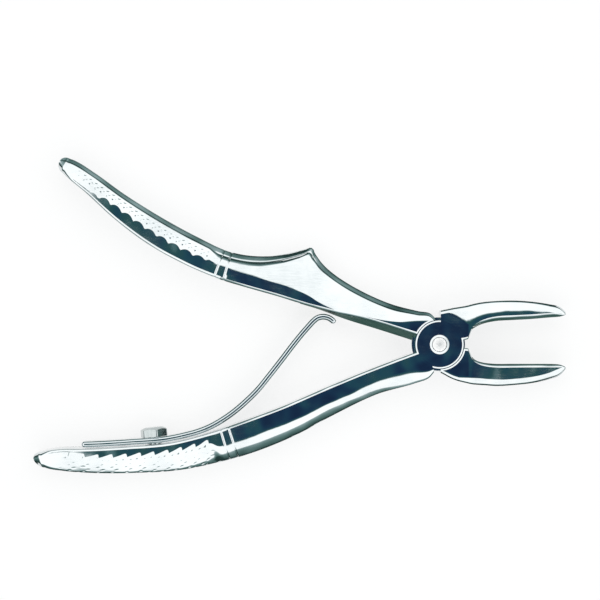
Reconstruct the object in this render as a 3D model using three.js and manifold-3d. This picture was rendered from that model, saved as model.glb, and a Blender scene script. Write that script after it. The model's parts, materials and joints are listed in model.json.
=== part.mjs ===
// Extraction forceps for small teeth: two forged halves crossing at a lap joint,
// a riveted joint pin, and a leaf spring screwed to one handle that holds the handles apart.
//
// Millimetres. The origin is on the joint pin's axis, on the joint's back face.
// +X runs along the beaks, +Z along the pin towards the front lap,
// and +Y is the side of the handle that carries the finger spur.

import * as THREE from 'three';
import { mergeVertices } from 'three/addons/utils/BufferGeometryUtils.js';
import Module from 'manifold-3d';

// ---------------------------------------------------------------- joint

const jointThickness = 8.6;
const lapGap = 0.1;
const frontDiscRadius = 5.85;
const backDiscRadius = 6.6;
const discClearance = 0.2;

const pinRadius = 1.75;
const pinClearance = 0.08;
const pinEndBevel = 0.15;
const pinholeBevel = 0.5;

// ---------------------------------------------------------------- handles

// Each handle has its own straight datum line through the pin axis.
const springHandleAngle = 195.8;
const springHandleLength = 103;
const spurHandleAngle = 154.2;
const spurHandleLength = 103;
const handleRootOffset = 3.1;

// Stations of a handle: share of the length from root to tip, then the distances of the
// inner and outer faces from the datum line, the depth along the pin, and the edge radius.
const springHandleStations = [
  { share: 0, inner: -0.3, outer: 6.1, depth: jointThickness, round: 0.4 },
  { share: 0.014, inner: 0, outer: 7.1, depth: jointThickness, round: 0.5 },
  { share: 0.05, inner: 0.3, outer: 7.5, depth: jointThickness, round: 0.8 },
  { share: 0.15, inner: 1.2, outer: 7.6, depth: 7.6, round: 1.7 },
  { share: 0.27, inner: 2.6, outer: 9.7, depth: 7.6, round: 2.1 },
  { share: 0.37, inner: 3.95, outer: 11.85, depth: 8.2, round: 2.3 },
  { share: 0.47, inner: 4.8, outer: 13, depth: jointThickness, round: 2.4 },
  { share: 0.57, inner: 5.35, outer: 13.1, depth: jointThickness, round: 2.4 },
  { share: 0.67, inner: 5, outer: 12.2, depth: jointThickness, round: 2.3 },
  { share: 0.77, inner: 3.1, outer: 10, depth: 8.3, round: 2.2 },
  { share: 0.87, inner: 0.85, outer: 7.2, depth: 7.7, round: 2.1 },
  { share: 0.94, inner: -0.95, outer: 4.7, depth: 6.9, round: 2 },
  { share: 0.98, inner: -1.2, outer: 2.7, depth: 5.4, round: 1.6 },
  { share: 1, inner: -0.7, outer: 0.7, depth: 3.4, round: 0.6 },
];

// The spur stands on the outer face, so the stations crowd together around its point.
const spurHandleStations = [
  { share: 0, inner: -1.3, outer: 5, depth: jointThickness, round: 0.4 },
  { share: 0.022, inner: -1.8, outer: 5.85, depth: jointThickness, round: 0.5 },
  { share: 0.05, inner: -2.2, outer: 5.1, depth: jointThickness, round: 0.8 },
  { share: 0.12, inner: -3.2, outer: 3.75, depth: 7.7, round: 1.7 },
  { share: 0.2, inner: -4.4, outer: 3.5, depth: 7.5, round: 1.9 },
  { share: 0.27, inner: -5.1, outer: 4.2, depth: 7.4, round: 2 },
  { share: 0.31, inner: -5.7, outer: 5.3, depth: 7.3, round: 2 },
  { share: 0.335, inner: -6.1, outer: 6.6, depth: 7, round: 2.1 },
  { share: 0.352, inner: -6.35, outer: 7.75, depth: 6.4, round: 2.1 },
  { share: 0.37, inner: -6.6, outer: 6.4, depth: 7, round: 2.1 },
  { share: 0.41, inner: -7.3, outer: 3.2, depth: 7.8, round: 2.2 },
  { share: 0.45, inner: -8, outer: 0.7, depth: 8.2, round: 2.3 },
  { share: 0.52, inner: -9.1, outer: -1.7, depth: jointThickness, round: 2.4 },
  { share: 0.62, inner: -9.6, outer: -2, depth: jointThickness, round: 2.4 },
  { share: 0.72, inner: -9, outer: -1.5, depth: jointThickness, round: 2.4 },
  { share: 0.82, inner: -7, outer: -0.4, depth: 8, round: 2.2 },
  { share: 0.91, inner: -4.3, outer: 1.15, depth: 7.2, round: 2 },
  { share: 0.97, inner: -2.8, outer: 1.75, depth: 6, round: 1.7 },
  { share: 1, inner: -1.6, outer: 1.2, depth: 4.2, round: 0.8 },
];
const ringsPerHandle = 34;

// ---------------------------------------------------------------- beaks

const beakLength = 31;
const beakRootOffset = 0.3;

// The faces that meet when the beaks are shut run out from the pin axis at these angles.
const springBeakStopAngle = 8.4;
const spurBeakStopAngle = 7;
const beakStopEnd = 7;

// Stations of a beak: distance from the pin axis along X, inner and outer distance from
// the X axis, depth along the pin, edge radius, and how deep the gripping face is hollowed.
const springBeakStations = [
  { along: 3.5, inner: 0.52, outer: 8.9, depth: jointThickness, round: 0.5, hollow: 0 },
  { along: beakStopEnd, inner: 1.05, outer: 9.5, depth: jointThickness, round: 0.6, hollow: 0 },
  { along: 7.9, inner: 2.9, outer: 9.75, depth: 8.3, round: 0.8, hollow: 0 },
  { along: 9.4, inner: 4.15, outer: 10.1, depth: 7.5, round: 1, hollow: 0.1 },
  { along: 11, inner: 4.9, outer: 10.35, depth: 7, round: 1.2, hollow: 0.4 },
  { along: 14, inner: 5.6, outer: 10.6, depth: 6.5, round: 1.2, hollow: 0.9 },
  { along: 18.5, inner: 5.9, outer: 10.7, depth: 6, round: 1.2, hollow: 1.1 },
  { along: 23, inner: 6.15, outer: 10.4, depth: 5.4, round: 1.1, hollow: 1 },
  { along: 27, inner: 6.5, outer: 9.8, depth: 4.8, round: 1, hollow: 0.8 },
  { along: 29.6, inner: 6.7, outer: 9.15, depth: 4.2, round: 0.7, hollow: 0.6 },
  { along: beakLength, inner: 6.9, outer: 8, depth: 3.4, round: 0.3, hollow: 0.3 },
];
const spurBeakStations = [
  { along: 3.5, inner: 0.43, outer: 8.55, depth: jointThickness, round: 0.5, hollow: 0 },
  { along: beakStopEnd, inner: 0.86, outer: 9.5, depth: jointThickness, round: 0.6, hollow: 0 },
  { along: 7.9, inner: 2.8, outer: 9.7, depth: 8.3, round: 0.8, hollow: 0 },
  { along: 9.4, inner: 4, outer: 9.85, depth: 7.5, round: 1, hollow: 0.1 },
  { along: 11, inner: 4.55, outer: 9.95, depth: 7, round: 1.2, hollow: 0.4 },
  { along: 14, inner: 4.9, outer: 10.15, depth: 6.5, round: 1.2, hollow: 0.9 },
  { along: 18.5, inner: 4.9, outer: 9.9, depth: 6, round: 1.2, hollow: 1.1 },
  { along: 23, inner: 4.9, outer: 9.4, depth: 5.4, round: 1.1, hollow: 1 },
  { along: 27, inner: 4.9, outer: 8.5, depth: 4.8, round: 1, hollow: 0.8 },
  { along: 29.6, inner: 5, outer: 7.6, depth: 4.2, round: 0.7, hollow: 0.6 },
  { along: beakLength, inner: 5.3, outer: 6.2, depth: 3.4, round: 0.3, hollow: 0.3 },
];
const springBeakCornerHeight = 8.25;
const spurBeakCornerHeight = 6.9;
const ringsPerBeak = 22;

// ---------------------------------------------------------------- leaf spring and its screw

const leafThickness = 1.4;
const leafWidth = 5.6;
const leafSeatGap = 0.15;
const leafTailAlong = 91;
const leafLiftAlong = 63.2;

// Where the leaf's hooked end bears on the other handle, and the hook's own curve.
const leafContactAlong = 27.4;
const leafContactGap = 0.4;
const hookRadius = 3.3;
const hookLead = 51;
const hookTrail = 38;

// The rising blade, as shares of the chord from lift-off to hook and the sag below it.
const bladeRise = [
  { share: 0.08, sag: 1.35 },
  { share: 0.16, sag: 2.2 },
  { share: 0.25, sag: 2.75 },
  { share: 0.35, sag: 2.95 },
  { share: 0.45, sag: 2.85 },
  { share: 0.56, sag: 2.25 },
  { share: 0.68, sag: 1.5 },
  { share: 0.8, sag: 0.7 },
  { share: 0.91, sag: 0.15 },
];

// The bending leaf is split where a rigid blade would be hinged to follow it.
const flexShare = 0.2;
const flexGap = 0.3;

const screwAlong = 73.6;
const screwHeadAcrossFlats = 6;
const screwHeadTurn = 26; // a flat of the tightened head faces nearly square to the front
const screwHeadHeight = 2.5;
const screwHeadBevel = 0.8;
const screwShankRadius = 1.5;
const screwDepth = 4.8;
const screwClearance = 0.3;

// ---------------------------------------------------------------- finishes

const polishedSteel = new THREE.MeshStandardMaterial({
  color: '#c3c9cc',
  roughness: 0.16,
  metalness: 1,
});
const satinSteel = new THREE.MeshStandardMaterial({
  color: '#cdd0d1',
  roughness: 0.3,
  metalness: 1,
});
const springSteel = new THREE.MeshStandardMaterial({
  color: '#aeb6ba',
  roughness: 0.22,
  metalness: 1,
});

// ---------------------------------------------------------------- geometry helpers

const wasm = await Module();
wasm.setup();

const midplane = jointThickness / 2;
const backLapTop = midplane - lapGap / 2;
const frontLapFloor = midplane + lapGap / 2;

/** A closed solid skinned over rings that all have the same number of points. */
function loftGeometry(rings) {
  const count = rings[0].length;
  const points = rings.flat();
  const index = [];
  for (let ring = 0; ring < rings.length - 1; ring += 1) {
    for (let k = 0; k < count; k += 1) {
      const a = ring * count + k;
      const b = ring * count + ((k + 1) % count);
      index.push(a, b, a + count, b, b + count, a + count);
    }
  }
  const startHub = points.length;
  const endHub = startHub + 1;
  const last = (rings.length - 1) * count;
  points.push(centroid(rings[0]), centroid(rings.at(-1)));
  for (let k = 0; k < count; k += 1) {
    const next = (k + 1) % count;
    index.push(startHub, next, k, endHub, last + k, last + next);
  }
  if (signedVolume(points, index) < 0) {
    index.reverse();
  }
  const geometry = new THREE.BufferGeometry();
  geometry.setFromPoints(points);
  geometry.setIndex(index);
  return geometry;
}

function centroid(points) {
  const sum = new THREE.Vector3();
  points.forEach((point) => sum.add(point));
  return sum.divideScalar(points.length);
}

function signedVolume(points, index) {
  let volume = 0;
  const cross = new THREE.Vector3();
  for (let k = 0; k < index.length; k += 3) {
    cross.crossVectors(points[index[k + 1]], points[index[k + 2]]);
    volume += points[index[k]].dot(cross) / 6;
  }
  return volume;
}

/** Turns a closed geometry into a solid that can be joined and cut. */
function solidOf(geometry) {
  const bare = geometry.clone();
  bare.deleteAttribute('normal');
  bare.deleteAttribute('uv');
  const merged = mergeVertices(bare, 1e-4);
  return new wasm.Manifold(new wasm.Mesh({
    numProp: 3,
    vertProperties: new Float32Array(merged.attributes.position.array),
    triVerts: new Uint32Array(merged.index.array),
  }));
}

/** Turns a solid back into a geometry with flat-shaded faces. */
function geometryOf(solid) {
  const mesh = solid.getMesh();
  const geometry = new THREE.BufferGeometry();
  geometry.setAttribute('position', new THREE.BufferAttribute(mesh.vertProperties, 3));
  geometry.setIndex(new THREE.BufferAttribute(mesh.triVerts, 1));
  geometry.computeVertexNormals();
  return geometry;
}

/** A round solid about the pin axis, from one height to another. */
function disc(radius, bottom, top, segments = 72) {
  const geometry = new THREE.CylinderGeometry(radius, radius, top - bottom, segments);
  geometry.rotateX(Math.PI / 2);
  geometry.translate(0, 0, (bottom + top) / 2);
  return solidOf(geometry);
}

/** A cone frustum about the pin axis, which bevels the mouth of the pinhole. */
function bevelCone(lowRadius, highRadius, bottom, top) {
  const geometry = new THREE.CylinderGeometry(highRadius, lowRadius, top - bottom, 48);
  geometry.rotateX(Math.PI / 2);
  geometry.translate(0, 0, (bottom + top) / 2);
  return solidOf(geometry);
}

/** Smooth values between stations, read at any distance along the part. */
class Profile {
  constructor(stations, position) {
    this.fields = ['inner', 'outer', 'depth', 'round', 'hollow'];
    const places = stations.map(position);
    const values = stations.flatMap((s) => this.fields.map((name) => s[name] ?? 0));
    this.start = places[0];
    this.end = places.at(-1);
    this.curve = new THREE.CubicInterpolant(places, values, this.fields.length);
  }

  at(along) {
    const place = THREE.MathUtils.clamp(along, this.start, this.end);
    const values = this.curve.evaluate(place);
    const section = Object.fromEntries(this.fields.map((name, k) => [name, values[k]]));
    section.depth = Math.min(section.depth, jointThickness);
    return section;
  }

  /** Evenly spaced distances, plus the stations themselves. */
  places(count, stations, position) {
    const step = (this.end - this.start) / count;
    const set = new Set(stations.map(position));
    for (let k = 1; k < count; k += 1) {
      const place = this.start + k * step;
      const near = [...set].some((other) => Math.abs(other - place) < step * 0.45);
      if (!near) {
        set.add(place);
      }
    }
    return [...set].sort((a, b) => a - b);
  }
}

/** One rounded-rectangle ring in the plane across a part at a given distance along it. */
function ringAcross(frame, along, section, grooved) {
  const { inner, outer, depth, hollow } = section;
  const limit = Math.min(outer - inner, depth) * 0.48;
  const round = Math.min(section.round, limit);
  const low = midplane - depth / 2;
  const high = midplane + depth / 2;
  const corners = [
    [outer - round, low + round, -90],
    [outer - round, high - round, 0],
    [inner + round, high - round, 90],
    [inner + round, low + round, 180],
  ];
  const ring = [];
  corners.forEach(([across, z, from], corner) => {
    [0, 45, 90].forEach((turn) => {
      const angle = THREE.MathUtils.degToRad(from + turn);
      ring.push([across + round * Math.cos(angle), z + round * Math.sin(angle)]);
    });
    if (grooved && corner === 2) {
      const half = depth / 2 - round;
      ring.push([inner + hollow * 0.8, midplane + half * 0.5]);
      ring.push([inner + hollow, midplane]);
      ring.push([inner + hollow * 0.8, midplane - half * 0.5]);
    }
  });
  return ring.map(([across, z]) => frame.point(along, across, z));
}

/** A datum line in the plane of the forceps: distance along it, and distance out from it. */
class Datum {
  constructor(angle, outwards) {
    const turn = THREE.MathUtils.degToRad(angle);
    this.line = new THREE.Vector3(Math.cos(turn), Math.sin(turn), 0);
    this.out = new THREE.Vector3(-this.line.y, this.line.x, 0).multiplyScalar(outwards);
  }

  point(along, across, z = 0) {
    const point = this.line.clone().multiplyScalar(along);
    point.addScaledVector(this.out, across);
    point.z = z;
    return point;
  }
}

// ---------------------------------------------------------------- handles and beaks

class Handle {
  constructor(angle, outwards, length, stations) {
    this.datum = new Datum(angle, outwards);
    this.stations = stations;
    this.position = (s) => handleRootOffset + s.share * (length - handleRootOffset);
    this.profile = new Profile(stations, this.position);
  }

  solid() {
    const places = this.profile.places(ringsPerHandle, this.stations, this.position);
    const rings = places.map((along) => (
      ringAcross(this.datum, along, this.profile.at(along), false)
    ));
    return solidOf(loftGeometry(rings));
  }

  /** A point on the inner face, and the direction that leaves the face there. */
  innerFace(along, lift = 0) {
    const step = 0.5;
    const before = this.datum.point(along - step, this.profile.at(along - step).inner);
    const after = this.datum.point(along + step, this.profile.at(along + step).inner);
    const tangent = after.sub(before).normalize();
    const normal = new THREE.Vector3(-tangent.y, tangent.x, 0);
    if (normal.dot(this.datum.out) > 0) {
      normal.negate();
    }
    const point = this.datum.point(along, this.profile.at(along).inner);
    return { point: point.addScaledVector(normal, lift), normal, tangent };
  }
}

function beakSolid(outwards, cornerHeight, stopAngle, stations) {
  const datum = new Datum(0, outwards);
  const slope = Math.tan(THREE.MathUtils.degToRad(stopAngle));
  const root = {
    along: beakRootOffset,
    inner: beakRootOffset * slope,
    outer: cornerHeight,
    depth: jointThickness,
    round: 0.4,
    hollow: 0,
  };
  const all = [root, ...stations];
  const position = (s) => s.along;
  const profile = new Profile(all, position);
  const rings = profile.places(ringsPerBeak, all, position).map((along) => {
    const section = profile.at(along);
    if (along <= beakStopEnd) {
      section.inner = along * slope;
    }
    return ringAcross(datum, along, section, true);
  });
  return solidOf(loftGeometry(rings));
}

const springHandle = new Handle(springHandleAngle, 1, springHandleLength, springHandleStations);
const spurHandle = new Handle(spurHandleAngle, -1, spurHandleLength, spurHandleStations);

// ---------------------------------------------------------------- joint cuts

const past = 1;
const pinholeRadius = pinRadius + pinClearance;
const pinhole = disc(pinholeRadius, -past, jointThickness + past, 48);
const frontBevel = bevelCone(
  pinholeRadius,
  pinholeRadius + pinholeBevel + past,
  jointThickness - pinholeBevel,
  jointThickness + past,
);
const backBevel = bevelCone(
  pinholeRadius + pinholeBevel + past,
  pinholeRadius,
  -past,
  pinholeBevel,
);
const frontDisc = disc(frontDiscRadius, frontLapFloor, jointThickness);
const backDisc = disc(backDiscRadius, 0, backLapTop);
const roomForBackDisc = disc(backDiscRadius + discClearance, -past, frontLapFloor);
const roomForFrontDisc = disc(
  frontDiscRadius + discClearance,
  backLapTop,
  jointThickness + past,
);

// ---------------------------------------------------------------- leaf spring

/** The leaf's centre line, from its tail along the handle and up to the end of the hook. */
function leafCentreLine() {
  const seatLift = leafSeatGap + leafThickness / 2;
  const foot = [];
  const footSteps = 12;
  for (let k = 0; k <= footSteps; k += 1) {
    const along = THREE.MathUtils.lerp(leafTailAlong, leafLiftAlong, k / footSteps);
    foot.push(springHandle.innerFace(along, seatLift).point);
  }

  const bearing = spurHandle.innerFace(leafContactAlong);
  const hookCentre = bearing.point.clone();
  const reach = leafContactGap + leafThickness / 2 + hookRadius;
  hookCentre.addScaledVector(bearing.normal, reach);
  const facing = Math.atan2(-bearing.normal.y, -bearing.normal.x);
  const hook = [];
  const hookSteps = 10;
  for (let k = 0; k <= hookSteps; k += 1) {
    const sweep = THREE.MathUtils.lerp(hookLead, -hookTrail, k / hookSteps);
    const angle = facing + THREE.MathUtils.degToRad(sweep);
    const spoke = new THREE.Vector3(Math.cos(angle), Math.sin(angle), 0);
    hook.push(hookCentre.clone().addScaledVector(spoke, hookRadius));
  }

  const start = foot.at(-1);
  const chord = hook[0].clone().sub(start);
  const below = new THREE.Vector3(chord.y, -chord.x, 0).normalize();
  const rise = bladeRise.map(({ share, sag }) => (
    start.clone().addScaledVector(chord, share).addScaledVector(below, sag)
  ));
  return { foot, rise, hook, start, chord };
}

/** The point where a measure taken along a line of points first passes a value. */
function onLine(line, measure, value) {
  const next = line.findIndex((point) => measure(point) >= value);
  const before = line[next - 1];
  const low = measure(before);
  const high = measure(line[next]);
  return before.clone().lerp(line[next], (value - low) / (high - low));
}

/** A strip of even thickness about a centre line, as deep as the leaf is wide. */
function stripGeometry(line, thickness) {
  const left = [];
  const right = [];
  line.forEach((point, k) => {
    const before = line[Math.max(k - 1, 0)];
    const after = line[Math.min(k + 1, line.length - 1)];
    const tangent = after.clone().sub(before).normalize();
    const side = new THREE.Vector3(-tangent.y, tangent.x, 0);
    left.push(point.clone().addScaledVector(side, thickness / 2));
    right.push(point.clone().addScaledVector(side, -thickness / 2));
  });
  const shape = new THREE.Shape([...right, ...left.reverse()]);
  const geometry = new THREE.ExtrudeGeometry(shape, { depth: leafWidth, bevelEnabled: false });
  geometry.translate(0, 0, midplane - leafWidth / 2);
  return geometry;
}

const leaf = leafCentreLine();
const leafCurve = new THREE.CatmullRomCurve3([...leaf.foot, ...leaf.rise, ...leaf.hook]);
const leafSamples = leafCurve.getSpacedPoints(64);
const flexTarget = leaf.start.clone().addScaledVector(leaf.chord, flexShare);
const chordWay = leaf.chord.clone().normalize();
const shareAlong = (point) => point.clone().sub(flexTarget).dot(chordWay);
const flexPoint = onLine(leafSamples, shareAlong, 0);
const flexWay = onLine(leafSamples, shareAlong, 1).sub(flexPoint).normalize();
const pastFlex = (point) => point.clone().sub(flexPoint).dot(flexWay);
const footLine = leafSamples.filter((point) => pastFlex(point) < -flexGap / 2);
const bladeLine = leafSamples.filter((point) => pastFlex(point) > flexGap / 2);

const footEdge = onLine(leafSamples, pastFlex, -flexGap / 2);
const bladeEdge = onLine(leafSamples, pastFlex, flexGap / 2);
const footStrip = stripGeometry([...footLine.slice(0, -1), footEdge], leafThickness);
const bladeStrip = stripGeometry([bladeEdge, ...bladeLine.slice(1)], leafThickness);

// ---------------------------------------------------------------- spring screw

const screwSeat = springHandle.innerFace(screwAlong);
const screwTilt = Math.atan2(screwSeat.normal.y, screwSeat.normal.x) - Math.PI / 2;
const headBase = leafSeatGap + leafThickness + leafSeatGap;

/** A cylinder standing on the screw's axis, measured from the handle's inner face. */
function alongScrew(radius, bottom, top, segments = 24) {
  const geometry = new THREE.CylinderGeometry(radius, radius, top - bottom, segments);
  geometry.translate(0, (bottom + top) / 2, 0);
  geometry.rotateZ(screwTilt);
  geometry.translate(screwSeat.point.x, screwSeat.point.y, midplane);
  return solidOf(geometry);
}

const screwHoleRadius = screwShankRadius + screwClearance;
const screwHole = alongScrew(screwHoleRadius, -screwDepth - screwClearance, headBase + past);

const headRadius = screwHeadAcrossFlats / Math.sqrt(3);
const headProfile = [
  new THREE.Vector2(0, 0),
  new THREE.Vector2(headRadius, 0),
  new THREE.Vector2(headRadius, screwHeadHeight - screwHeadBevel),
  new THREE.Vector2(headRadius * 0.45, screwHeadHeight),
  new THREE.Vector2(0, screwHeadHeight),
];
const head = new THREE.LatheGeometry(headProfile, 6, THREE.MathUtils.degToRad(screwHeadTurn));
const shank = new THREE.CylinderGeometry(
  screwShankRadius,
  screwShankRadius,
  headBase + screwDepth + 0.5,
  24,
);
shank.translate(0, 0.5 - (headBase + screwDepth + 0.5) / 2, 0);

// ---------------------------------------------------------------- the pieces

function piece(name, geometry, material) {
  const mesh = new THREE.Mesh(geometry, material);
  mesh.name = name;
  return mesh;
}

const springHalfSolid = springHandle.solid()
  .add(beakSolid(1, springBeakCornerHeight, springBeakStopAngle, springBeakStations))
  .subtract(roomForBackDisc)
  .add(frontDisc)
  .subtract(pinhole)
  .subtract(frontBevel)
  .subtract(screwHole);

const spurHalfSolid = spurHandle.solid()
  .add(beakSolid(-1, spurBeakCornerHeight, spurBeakStopAngle, spurBeakStations))
  .subtract(roomForFrontDisc)
  .add(backDisc)
  .subtract(pinhole)
  .subtract(backBevel);

const pinProfile = [
  new THREE.Vector2(0, 0),
  new THREE.Vector2(pinRadius - pinEndBevel, 0),
  new THREE.Vector2(pinRadius, pinEndBevel),
  new THREE.Vector2(pinRadius, jointThickness - pinEndBevel),
  new THREE.Vector2(pinRadius - pinEndBevel, jointThickness),
  new THREE.Vector2(0, jointThickness),
];
const pinGeometry = new THREE.LatheGeometry(pinProfile, 32);
pinGeometry.rotateX(Math.PI / 2);

const footSolid = solidOf(footStrip).subtract(screwHole);
const screwSolid = solidOf(head).add(solidOf(shank));

const springHalf = piece('spring_side_half', geometryOf(springHalfSolid), polishedSteel);
const spurHalf = piece('spur_side_half', geometryOf(spurHalfSolid), polishedSteel);
const jointPin = piece('joint_pin', pinGeometry, satinSteel);
const leafFoot = piece('leaf_spring_foot', geometryOf(footSolid), springSteel);
const leafBlade = piece('leaf_spring_blade', geometryOf(solidOf(bladeStrip)), springSteel);
const springScrew = piece('spring_screw', geometryOf(screwSolid), satinSteel);

// The screw stands square on the spring-side handle's inner face.
const screwPlace = new THREE.Group();
screwPlace.position.set(screwSeat.point.x, screwSeat.point.y, midplane);
screwPlace.rotation.z = screwTilt;
springScrew.position.y = headBase;
screwPlace.add(springScrew);

const springSide = new THREE.Group();
springSide.add(springHalf, jointPin, leafFoot, leafBlade, screwPlace);

const spurSide = new THREE.Group();
spurSide.add(spurHalf);

const forceps = new THREE.Group();
forceps.name = 'extraction_forceps';
forceps.add(springSide, spurSide);

export default forceps;
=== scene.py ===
"""Looks of a child-size extraction forceps with a leaf spring.

Two forged halves cross at a riveted lap joint. A leaf spring, screwed to one handle,
holds the handles apart. Lengths inside the classes are millimetres; a finished piece
is scaled to metres when it is handed over.
"""

import json
import logging
import math
from bisect import bisect_right
from collections.abc import Callable, Iterable, Sequence
from dataclasses import dataclass, field
from enum import Enum

import bmesh
import bpy
from mathutils import Matrix, Vector
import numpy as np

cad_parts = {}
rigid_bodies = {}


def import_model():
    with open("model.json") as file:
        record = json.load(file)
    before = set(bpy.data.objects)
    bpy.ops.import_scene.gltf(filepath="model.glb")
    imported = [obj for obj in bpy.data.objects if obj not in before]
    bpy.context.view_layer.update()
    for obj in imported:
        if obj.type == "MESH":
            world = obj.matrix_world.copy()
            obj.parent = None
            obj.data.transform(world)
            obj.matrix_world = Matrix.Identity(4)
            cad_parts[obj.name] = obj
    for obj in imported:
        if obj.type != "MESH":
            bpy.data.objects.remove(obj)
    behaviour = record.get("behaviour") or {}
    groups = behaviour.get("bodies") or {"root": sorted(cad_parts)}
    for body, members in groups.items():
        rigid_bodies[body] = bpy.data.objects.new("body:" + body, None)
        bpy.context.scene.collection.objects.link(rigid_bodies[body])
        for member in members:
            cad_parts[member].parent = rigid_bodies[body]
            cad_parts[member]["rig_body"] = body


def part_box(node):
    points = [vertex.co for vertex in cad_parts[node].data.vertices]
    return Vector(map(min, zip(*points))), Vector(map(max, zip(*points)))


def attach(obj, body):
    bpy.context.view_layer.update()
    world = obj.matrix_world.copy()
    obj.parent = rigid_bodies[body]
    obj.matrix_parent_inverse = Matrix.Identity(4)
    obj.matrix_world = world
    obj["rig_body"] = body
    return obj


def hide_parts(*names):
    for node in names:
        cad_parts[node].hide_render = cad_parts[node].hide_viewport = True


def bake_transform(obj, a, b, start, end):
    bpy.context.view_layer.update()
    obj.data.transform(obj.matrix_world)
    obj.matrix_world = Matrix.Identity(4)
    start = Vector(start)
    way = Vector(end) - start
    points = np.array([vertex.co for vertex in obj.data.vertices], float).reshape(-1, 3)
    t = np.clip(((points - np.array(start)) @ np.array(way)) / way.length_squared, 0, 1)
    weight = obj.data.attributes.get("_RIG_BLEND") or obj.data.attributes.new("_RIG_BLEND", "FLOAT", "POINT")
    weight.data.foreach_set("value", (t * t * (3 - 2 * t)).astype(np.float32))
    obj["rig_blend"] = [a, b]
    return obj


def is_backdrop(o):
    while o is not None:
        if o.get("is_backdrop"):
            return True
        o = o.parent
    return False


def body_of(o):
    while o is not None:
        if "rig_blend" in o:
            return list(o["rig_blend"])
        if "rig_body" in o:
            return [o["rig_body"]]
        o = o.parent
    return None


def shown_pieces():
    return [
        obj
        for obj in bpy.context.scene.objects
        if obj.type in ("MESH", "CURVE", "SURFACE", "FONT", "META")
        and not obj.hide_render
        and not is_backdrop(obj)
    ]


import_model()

log = logging.getLogger("forceps")

Pairs = tuple[tuple[float, float], ...]
Outline = list[tuple[float, float]]

THICKNESS = 8.6
MIDPLANE = THICKNESS / 2
METRES = 0.001
PER_METRE = 1 / METRES
MELT = 1e-5
SLIVER = 2e-4
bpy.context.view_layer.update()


class Body(Enum):
    """The bodies that pieces ride on."""

    SPRING_SIDE = "spring_side"
    SPUR_SIDE = "spur_side"
    LEAF_BLADE = "leaf_blade"


class Slot(Enum):
    """The finishes that the part's record names."""

    POLISHED_STEEL = "polished_steel"
    PIN_STEEL = "pin_steel"
    SPRING_STEEL = "spring_steel"
    SCREW_STEEL = "screw_steel"


class Cut(Enum):
    """What a tool solid does to a blank."""

    JOIN = "UNION"
    REMOVE = "DIFFERENCE"
    KEEP_SHARED = "INTERSECT"


# ---------------------------------------------------------------- curves


def smooth_step(low: float, high: float, value: float) -> float:
    """Eases from 0 at low to 1 at high."""
    share = min(max((value - low) / (high - low), 0.0), 1.0)
    return share * share * (3 - 2 * share)


def slope(degrees: float) -> float:
    """The rise per unit of run at an angle."""
    return math.tan(math.radians(degrees))


def outward(before: Sequence[float], after: Sequence[float]) -> Vector:
    """The outward normal of an outline between two of its points."""
    return Vector((after[1] - before[1], before[0] - after[0])).normalized()


@dataclass(frozen=True)
class Curve:
    """Smooth values through stations, each slope the mean of its two neighbours'."""

    places: tuple[float, ...]
    values: tuple[float, ...]

    def at(self, place: float) -> float:
        """Reads the curve.

        Args:
            place: Where to read it; past either end it keeps the end value.

        Returns:
            The value there.
        """
        place = min(max(place, self.places[0]), self.places[-1])
        k = min(max(bisect_right(self.places, place) - 1, 0), len(self.places) - 2)
        step = self.places[k + 1] - self.places[k]
        here = self._secant(k)
        leave = (self._secant(k - 1) + here) / 2 if k else here
        arrive = (self._secant(k + 1) + here) / 2 if k + 2 < len(self.places) else here
        t = (place - self.places[k]) / step
        a, b = self.values[k], self.values[k + 1]
        return (
            a * (1 + 2 * t) * (1 - t) ** 2
            + b * t * t * (3 - 2 * t)
            + step * (leave * t * (1 - t) ** 2 - arrive * t * t * (1 - t))
        )

    def _secant(self, k: int) -> float:
        """The slope of the straight line from station k to the next one."""
        return (self.values[k + 1] - self.values[k]) / (self.places[k + 1] - self.places[k])


@dataclass(frozen=True)
class Ease:
    """Values that ease from one station to the next and never overshoot."""

    places: tuple[float, ...]
    values: tuple[float, ...]

    def at(self, place: float) -> float:
        """Reads the value at a place; past either end it keeps the end value."""
        if place <= self.places[0]:
            return self.values[0]
        for k in range(1, len(self.places)):
            if place < self.places[k]:
                share = smooth_step(self.places[k - 1], self.places[k], place)
                return self.values[k - 1] + share * (self.values[k] - self.values[k - 1])
        return self.values[-1]


# ---------------------------------------------------------------- mesh work


def skin(rings: Sequence[Sequence[Vector]]) -> bmesh.types.BMesh:
    """Wraps a grid round rings of points and closes both ends.

    Args:
        rings: Rings with the same number of points, in order along the piece.

    Returns:
        A closed mesh with its faces outwards.
    """
    mesh = bmesh.new()
    along, around = len(rings) - 1, len(rings[0])
    bmesh.ops.create_grid(mesh, x_segments=along, y_segments=around, size=0.5)
    for vert in mesh.verts:
        ring = rings[round((vert.co.x + 0.5) * along)]
        vert.co = ring[round((vert.co.y + 0.5) * around) % around]
    bmesh.ops.remove_doubles(mesh, verts=mesh.verts, dist=MELT)
    rims = [edge for edge in mesh.edges if edge.is_boundary]
    caps = bmesh.ops.holes_fill(mesh, edges=rims, sides=0)["faces"]
    bmesh.ops.poke(mesh, faces=caps)
    bmesh.ops.recalc_face_normals(mesh, faces=mesh.faces)
    return mesh


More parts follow.
